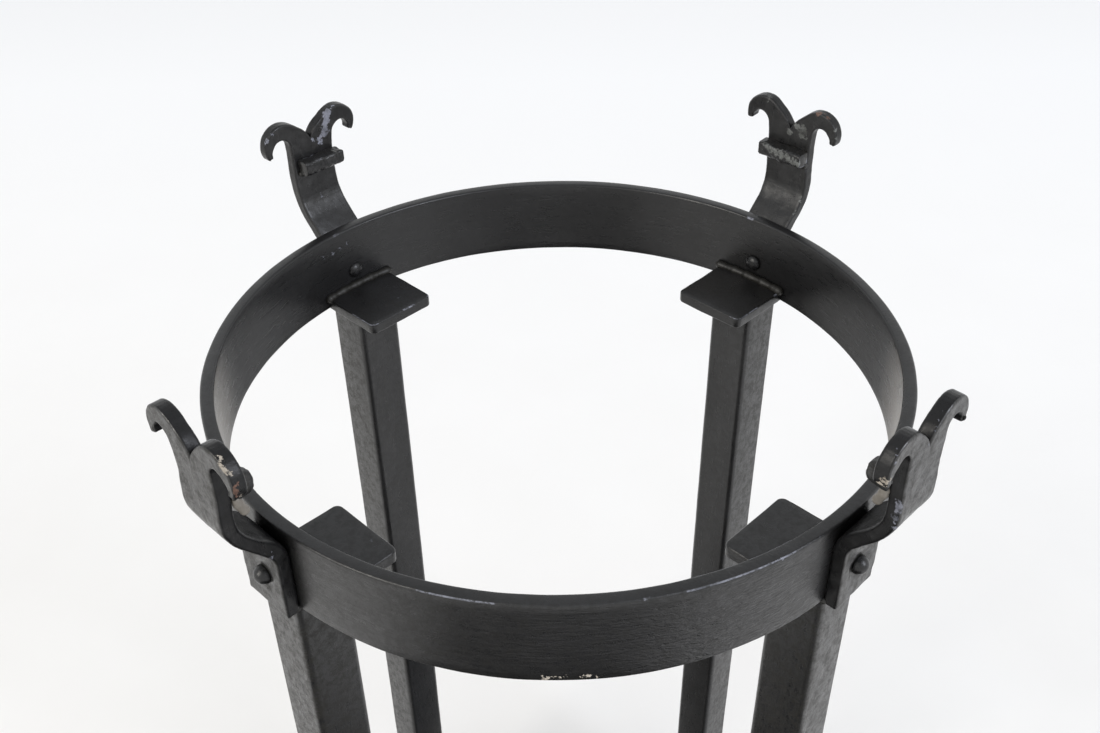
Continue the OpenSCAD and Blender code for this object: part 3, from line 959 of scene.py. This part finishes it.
# Pale specks near the ring's low edge: the angle from its front in degrees, the height and the radius.
for degrees, up, radius in ((-2.4, 2.6, 2.2), (-1.4, 3, 2), (-0.2, 2.6, 2.2), (2.2, 2.6, 1.8), (3.3, 3, 2),
                            (4.6, 2.6, 1.5)):
    a = math.radians(degrees)
    where = (ring_out * math.sin(a), -ring_out * math.cos(a), ring_low + up * MM)
    RING_WEAR.append((where, radius * MM, 0.93, "cream"))
PAD_WEAR = [
    *spots("back_left", "cream", (-46.7, -6, -34, 1.8), (-46.7, -10, -34, 1.8), (-46.7, -14, -34, 1.8),
           (-45, 18, -34, 1.5)),
    *spots("back_left", "steel", (-33, -6, -34, 1.2)), *spots("front_left", "steel", (-40, 8, -34, 2, 0.8)),
]
# Stretches of edges marked with a line: a painted highlight along the ring's top edge, rust worn along its low
# front edge and, on the pads' edges, worn paint and painted highlight together; and a stretch of the ring's front
# where the film wrinkled.
PAINTED_EDGE_HIGHLIGHT = [((0.065, -0.143, ring_top), 0.045), ((-0.038, -0.152, ring_top), 0.027)]
EDGE_RUST = [((x, -ring_out, ring_low), 0.034) for x in (-0.03, -0.005, 0.02)]
PAD_EDGE_WEAR_AND_HIGHLIGHT = [(spots(corner, "steel", (-36, side * 20, -40, 1))[0][0], 0.02)
            for corner, side in (("back_right", -1), ("back_left", 1))]
WRINKLED = [((0.065, -0.143, ring_top - 0.028), 0.055)]
# Where umbrellas rub the ring from inside: wide soft places at its left and right, painted lighter. The light
# colour is partly rubbed film and partly painted sheen, the reflection these inside faces show at a grazing view.
RUBBED_AND_SHEEN = [((side * ring_in * math.cos(0.36), -ring_in * math.sin(0.36), ring_top - 0.025), 0.062)
          for side in (-1, 1)]
print("worn places:", len(HORN_WEAR_AND_HIGHLIGHTS) + len(RING_WEAR) + len(PAD_WEAR))


# %% What the finishes share
def new_material(name):
    """A material with an empty node tree, the tree, and the Object coordinates in it."""
    material = bpy.data.materials.new(name)
    material.use_nodes = True
    material.node_tree.nodes.clear()
    return material, material.node_tree, add(material.node_tree, "TexCoord").outputs["Object"]


def times(tree, first, *others):
    """The product of sockets or numbers."""
    for other in others:
        first = add(tree, "Math", (first, other), operation="MULTIPLY")
    return first


def most(tree, first, *others):
    """The largest of sockets or numbers."""
    for other in others:
        first = add(tree, "Math", (first, other), operation="MAXIMUM")
    return first


def nearness(tree, place, where, radius, core):
    """1 within core times the radius of a place, falling to 0 at the radius."""
    away = add(tree, "VectorMath", (place, where), operation="DISTANCE")
    return add(tree, "MapRange", (away, radius, radius * core))


def zone(tree, place, places, core):
    """1 in any of the given places, and 0 away from them."""
    return most(tree, 0.0, *[nearness(tree, place, where, radius, core) for where, radius in places])


def cover_with(tree, base, roughness, normal, ior):
    """Ends a tree in a surface with these qualities."""
    skin = add(tree, "BsdfPrincipled", {"Base Color": base, "Roughness": roughness, "Normal": normal, "IOR": ior})
    add(tree, "OutputMaterial", {"Surface": skin})


# %% The enamel
# The steel and grey tones serve both the chips and the painted highlights.
WEAR_AND_HIGHLIGHT_TONES = {"steel": ("#4c4e55", "#868893"), "grey": ("#3f403d", "#6c6e6c"), "rust": ("#4a362d", "#75594c"),
         "cream": ("#857d72", "#b4aca0")}
# The last colour here is partly rubbed film and partly painted sheen on the ring's inside faces.
FILM_THIN, FILM_THICK, DUST, RUB_AND_SHEEN = "#101011", "#19191a", "#262522", "#6b635a"
IOR_PLAIN, IOR_HANDLED, IOR_FLANK_SHADE, IOR_DUST = 1.5, 1.75, 1.38, 0.38
CHIP_STARTS, CHIP_FULL, CHIP_ROUGHNESS = 0.78, 0.88, 0.55
EDGE_COVER, LINE_COVER, TEAR = 0.85, 0.86, 8 * MM


def enamel(name, strokes, wear=(), ridge_depth=0.10, scuff=0.5, rubbed=(), edge_wear_and_highlight=(), edge_rust=(),
           wrinkled=()):
    """Brushed black enamel. strokes is the run of the brush, 'round' or 'upright', and scuff is how much
    of the gloss has been rubbed dull."""
    material, tree, place = new_material(name)
    across, up = (RIDGE_RUN, RIDGE) if strokes == "round" else (RIDGE, RIDGE_RUN)
    stretched = add(tree, "Mapping", {"Vector": place, "Scale": (1 / across, 1 / across, 1 / up)})
    ridges = add(tree, "TexNoise", {"Vector": stretched, "Scale": 1, "Detail": 3, "Distortion": 0.5})
    pools = add(tree, "TexNoise", {"Vector": place, "Scale": 1 / (45 * MM), "Detail": 2})
    thick = add(tree, "MapRange", (pools, 0.42, 0.62))
    grit = add(tree, "TexNoise", {"Vector": place, "Scale": 1 / (0.8 * MM), "Detail": 3})
    flank = add(tree, "Attribute", attribute_name="flank").outputs["Fac"]
    wide = add(tree, "MapRange", (flank, 0, 1, 1, 0.15))

    # Faces that look outward have been handled and dulled most; faces towards the middle stay smooth
    normal = add(tree, "NewGeometry").outputs["Normal"]
    level = add(tree, "VectorMath", (place, (1, 1, 0)), operation="MULTIPLY")
    facing = add(tree, "VectorMath", (normal, level), operation="DOT_PRODUCT")
    handled = add(tree, "MapRange", (facing, -0.03, 0.03, 0.2 * scuff, scuff))

    # Dull, dusty mottling on the wide faces: dust dims the mirror more than it shows its own colour
    dusty = add(tree, "TexNoise", {"Vector": place, "Scale": 1 / (4 * MM), "Detail": 7, "Roughness": 0.82,
                                   "Distortion": 0.3})
    mottle = add(tree, "MapRange", (dusty, 0.43, 0.58))
    dull = times(tree, mottle, wide, handled)
    film = add(tree, "Mix", {"Factor": thick, "A": colour(FILM_THIN), "B": colour(FILM_THICK)}, data_type="RGBA")
    film = add(tree, "Mix", {"Factor": dull, "A": film, "B": colour(DUST)}, data_type="RGBA")

    # Which way a face slopes tells the ring's upright inside, its upper edges and its lower edges apart
    slope = add(tree, "SeparateXYZ", {"Vector": normal}).outputs["Z"]
    upright = add(tree, "MapRange", (slope, 0.5, 0.2))
    inside = times(tree, upright, add(tree, "MapRange", (facing, 0.03, -0.03)))
    brow = times(tree, add(tree, "MapRange", (slope, 0.25, 0.45)), add(tree, "MapRange", (slope, 0.95, 0.82)))
    sill = times(tree, add(tree, "MapRange", (slope, -0.25, -0.45)),
                 add(tree, "MapRange", (slope, -0.95, -0.82)))
    streaks = add(tree, "MapRange", (ridges, 0.35, 0.6, 0.45, 1.0))
    # Lighter streaky places inside the ring: partly rubbed film, partly painted sheen.
    for where, radius in rubbed:
        share = times(tree, nearness(tree, place, where, radius, 0.3), streaks, inside)
        film = add(tree, "Mix", {"Factor": share, "A": film, "B": colour(RUB_AND_SHEEN)}, data_type="RGBA")

    # Chips: on sharp edges here and there, along the rusty worn line and at the named worn places. The pale lines
    # along upper edges and some of the named places are painted highlights in the same tones.
    ragged = add(tree, "TexNoise", {"Vector": place, "Scale": 1 / (2.2 * MM), "Detail": 6, "Roughness": 0.75})
    ragged = times(tree, add(tree, "Math", (ragged, 0.5), operation="SUBTRACT"), 0.7)
    sharp = add(tree, "Attribute", attribute_name="edge_wear").outputs["Fac"]
    edge = add(tree, "MapRange", (sharp, 0.6, 0.69))
    patches = add(tree, "TexNoise", {"Vector": place, "Scale": 1 / (24 * MM), "Detail": 2})
    rare = add(tree, "MapRange", (patches, 0.52, 0.7))
    # The steel line along upper edges paints a highlight on the ring's top edge; on the pads it is worn paint and
    # painted highlight together.
    bare_and_highlit = {"steel": most(tree, times(tree, edge, rare, EDGE_COVER),
                          times(tree, brow, zone(tree, place, edge_wear_and_highlight, 0.5), LINE_COVER)),
            "grey": 0.0, "cream": 0.0,
            "rust": times(tree, sill, zone(tree, place, edge_rust, 0.5), EDGE_COVER)}
    shake = add(tree, "TexNoise", {"Vector": place, "Scale": 1 / (2.6 * MM), "Detail": 4,
                                   "Roughness": 0.65}).outputs["Color"]
    shake = add(tree, "VectorMath", (shake, (0.5, 0.5, 0.5)), operation="SUBTRACT")
    torn = add(tree, "VectorMath", (shake, (TEAR, TEAR, TEAR), place), operation="MULTIPLY_ADD")
    # The named places are mostly chips; some of them are painted highlights in the chip tones.
    for where, radius, cover, tone in wear:
        bare_and_highlit[tone] = most(tree, bare_and_highlit[tone], times(tree, nearness(tree, torn, where, radius, 0.4), cover))
    chip_and_highlight = {}
    for tone, amount in bare_and_highlit.items():
        amount = add(tree, "Math", (amount, ragged), operation="ADD")
        chip_and_highlight[tone] = add(tree, "MapRange", (amount, CHIP_STARTS, CHIP_FULL))
    speck = add(tree, "TexNoise", {"Vector": place, "Scale": 1 / (6 * MM), "Detail": 5, "Roughness": 0.7})
    speck = add(tree, "MapRange", (speck, 0.35, 0.65))
    base = film
    for tone, (low, high) in WEAR_AND_HIGHLIGHT_TONES.items():
        shown = add(tree, "Mix", {"Factor": speck, "A": colour(low), "B": colour(high)}, data_type="RGBA")
        base = add(tree, "Mix", {"Factor": chip_and_highlight[tone], "A": base, "B": shown}, data_type="RGBA")
    # Chips and painted highlights alike are made rougher and sunk a little.
    chipped = most(tree, *chip_and_highlight.values())

    # How rough the film is, how its ridges and chips stand out, and how strongly it mirrors
    gloss = add(tree, "MapRange", (ridges, 0.3, 0.7, 0.25, 0.36))
    gloss = add(tree, "Math", (gloss, times(tree, dull, 0.12)), operation="ADD")
    rough = add(tree, "Mix", {"Factor": chipped, "A": gloss, "B": CHIP_ROUGHNESS}, data_type="FLOAT")
    crumpled = zone(tree, place, wrinkled, 0.3)
    relief = times(tree, ridges, add(tree, "Math", (times(tree, thick, wide), crumpled), operation="ADD"))
    if wrinkled:
        fine = 1 / (4.5 * MM)
        wrinkles = add(tree, "Mapping", {"Vector": place, "Scale": (fine, fine, 1 / (1.3 * MM))})
        wrinkles = add(tree, "TexNoise", {"Vector": wrinkles, "Scale": 1, "Detail": 3, "Distortion": 0.9})
        relief = add(tree, "Math", (relief, times(tree, wrinkles, crumpled, 4.5)), operation="ADD")
    bumps = add(tree, "Bump", {"Height": relief, "Strength": 0.5, "Distance": ridge_depth * MM * 4})
    for height, strength, depth, sunk in ((mottle, 0.25, 0.08 * MM, False), (grit, 0.3, 0.06 * MM, False),
                                          (chipped, 0.5, 0.15 * MM, True)):
        bumps = add(tree, "Bump", {"Height": height, "Strength": strength, "Distance": depth, "Normal": bumps},
                    invert=sunk)
    mirror = add(tree, "MapRange", (handled, 0, 1, IOR_PLAIN, IOR_HANDLED))
    # Narrow sides get a lower IOR, which paints shade into their reflections.
    mirror = add(tree, "MapRange", (flank, 0, 1, mirror, IOR_FLANK_SHADE))
    mirror = add(tree, "Math", (mirror, times(tree, dull, IOR_DUST)), operation="SUBTRACT")
    cover_with(tree, base, rough, bumps, mirror)
    return material


enamel_round = enamel("black_enamel_brushed_round", "round", RING_WEAR, 0.06, 0.3, RUBBED_AND_SHEEN, PAINTED_EDGE_HIGHLIGHT,
                      EDGE_RUST, WRINKLED)
enamel_upright = enamel("black_enamel_brushed_upright", "upright", HORN_WEAR_AND_HIGHLIGHTS, 0.03, 0.9)
enamel_plate = enamel("black_enamel_brushed_plate", "round", PAD_WEAR, 0.05, 0.5, (), PAD_EDGE_WEAR_AND_HIGHLIGHT)
enamel_leg = enamel("black_enamel_brushed_leg", "upright", (), 0.03, 1.0)
enamel_rivet = enamel("black_enamel_pooled", "upright", (), 0.0, 0.0)
print("enamels made")

# %% [markdown]
# ## The other finishes
#
# Weld metal takes the enamel unevenly and stays a little browner. The caps are moulded polyethylene,
# soft and waxy, with a fine matt grain. The tray is powder-coated: a baked film with the even
# orange-peel of melted powder, over sheet steel.


# %% Weld, plastic and powder coat
def plain_finish(name, low, high, roughness, grain, depth):
    """A finish of two close colours with a grain of a given size and depth in millimetres."""
    material, tree, place = new_material(name)
    blotch = add(tree, "TexNoise", {"Vector": place, "Scale": 1 / (18 * MM), "Detail": 3})
    tone = add(tree, "Mix", {"Factor": blotch, "A": colour(low), "B": colour(high)}, data_type="RGBA")
    gloss = add(tree, "MapRange", (blotch, 0.3, 0.7, roughness - 0.05, roughness + 0.05))
    fine = add(tree, "TexNoise", {"Vector": place, "Scale": 1 / (grain * MM), "Detail": 3})
    bumps = add(tree, "Bump", {"Height": fine, "Strength": 0.5, "Distance": depth * MM})
    cover_with(tree, tone, gloss, bumps, IOR_PLAIN)
    return material


weld_enamel = plain_finish("black_enamel_over_weld", "#131210", "#201e19", 0.48, 1.2, 0.1)
bare_weld = plain_finish("weld_rubbed_bare", "#524e48", "#837d74", 0.5, 1.5, 0.2)
cap_plastic = plain_finish("polyethylene_moulded", "#101011", "#18181a", 0.5, 0.4, 0.05)
powder_coat = plain_finish("powder_coat_on_steel", "#17181a", "#1d1e20", 0.38, 0.6, 0.05)
print("finishes:", [m.name for m in bpy.data.materials])


# %% Give each piece its finish, body and node
def place_piece(piece, material, body, node):
    """Hands a piece over to the frame. Pieces that are looks only, such as weld beads, replace no node."""
    piece.data.materials.clear()
    piece.data.materials.append(material)
    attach(piece, body)
    if node:
        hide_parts(node)


place_piece(ring, enamel_round, "stand", "ring_band")
for corner in CORNERS:
    for pieces, material, stem, slot in (
            (brackets, enamel_upright, "finial_bracket_", "black_iron"),
            (collars, enamel_upright, "collar_bar_", "black_iron"),
            (rivets, enamel_rivet, "rivet_", "rivet_iron"),
            (pads, enamel_plate, "support_pad_", "black_iron"),
            (pad_welds, weld_enamel, "pad_weld_", "black_iron"),
            (leg_welds, weld_enamel, None, "black_iron"),
            (tacks, weld_enamel, None, "black_iron"),
            (drips, bare_weld, None, "black_iron"),
            (bar_welds, weld_enamel, None, "black_iron"),
            (legs, enamel_leg, "leg_tube_", "black_iron"),
            (caps, cap_plastic, "leg_cap_", "cap_plastic"),
            (studs, enamel_leg, "tray_stud_", "rivet_iron")):
        if corner in pieces:
            place_piece(pieces[corner], material, "stand", stem and stem + corner)
for node, bar in cross_bars.items():
    place_piece(bar, enamel_plate, "stand", node)
place_piece(tray, powder_coat, "tray", "drip_tray")
print("pieces placed")

# %% [markdown]
# ## The floor
#
# A plain painted floor, nearly white, with the faintest mottling so that it doesn't look like paper. Further off
# its colour turns whiter still: painted light that brightens the far floor.

# %% Floor
bpy.ops.mesh.primitive_plane_add(size=24, location=(0, 0, 0))
floor = settle(bpy.context.object, "floor")
floor_paint, tree, place = new_material("floor_paint")
cloudy = add(tree, "TexNoise", {"Vector": place, "Scale": 6, "Detail": 6})
near = add(tree, "Mix", {"Factor": cloudy, "A": colour("#eceae7"), "B": colour("#f3f2f0")}, data_type="RGBA")
# Painted light: the floor's colour brightens with distance behind the stand.
away = add(tree, "MapRange", (add(tree, "SeparateXYZ", {"Vector": place}).outputs["Y"], 0.3, 1.6))
paint = add(tree, "Mix", {"Factor": away, "A": near, "B": colour("#fefefe")}, data_type="RGBA")
skin = add(tree, "BsdfPrincipled", {"Base Color": paint, "Roughness": 0.75})
add(tree, "OutputMaterial", {"Surface": skin})
floor.data.materials.append(floor_paint)
print("floor laid")
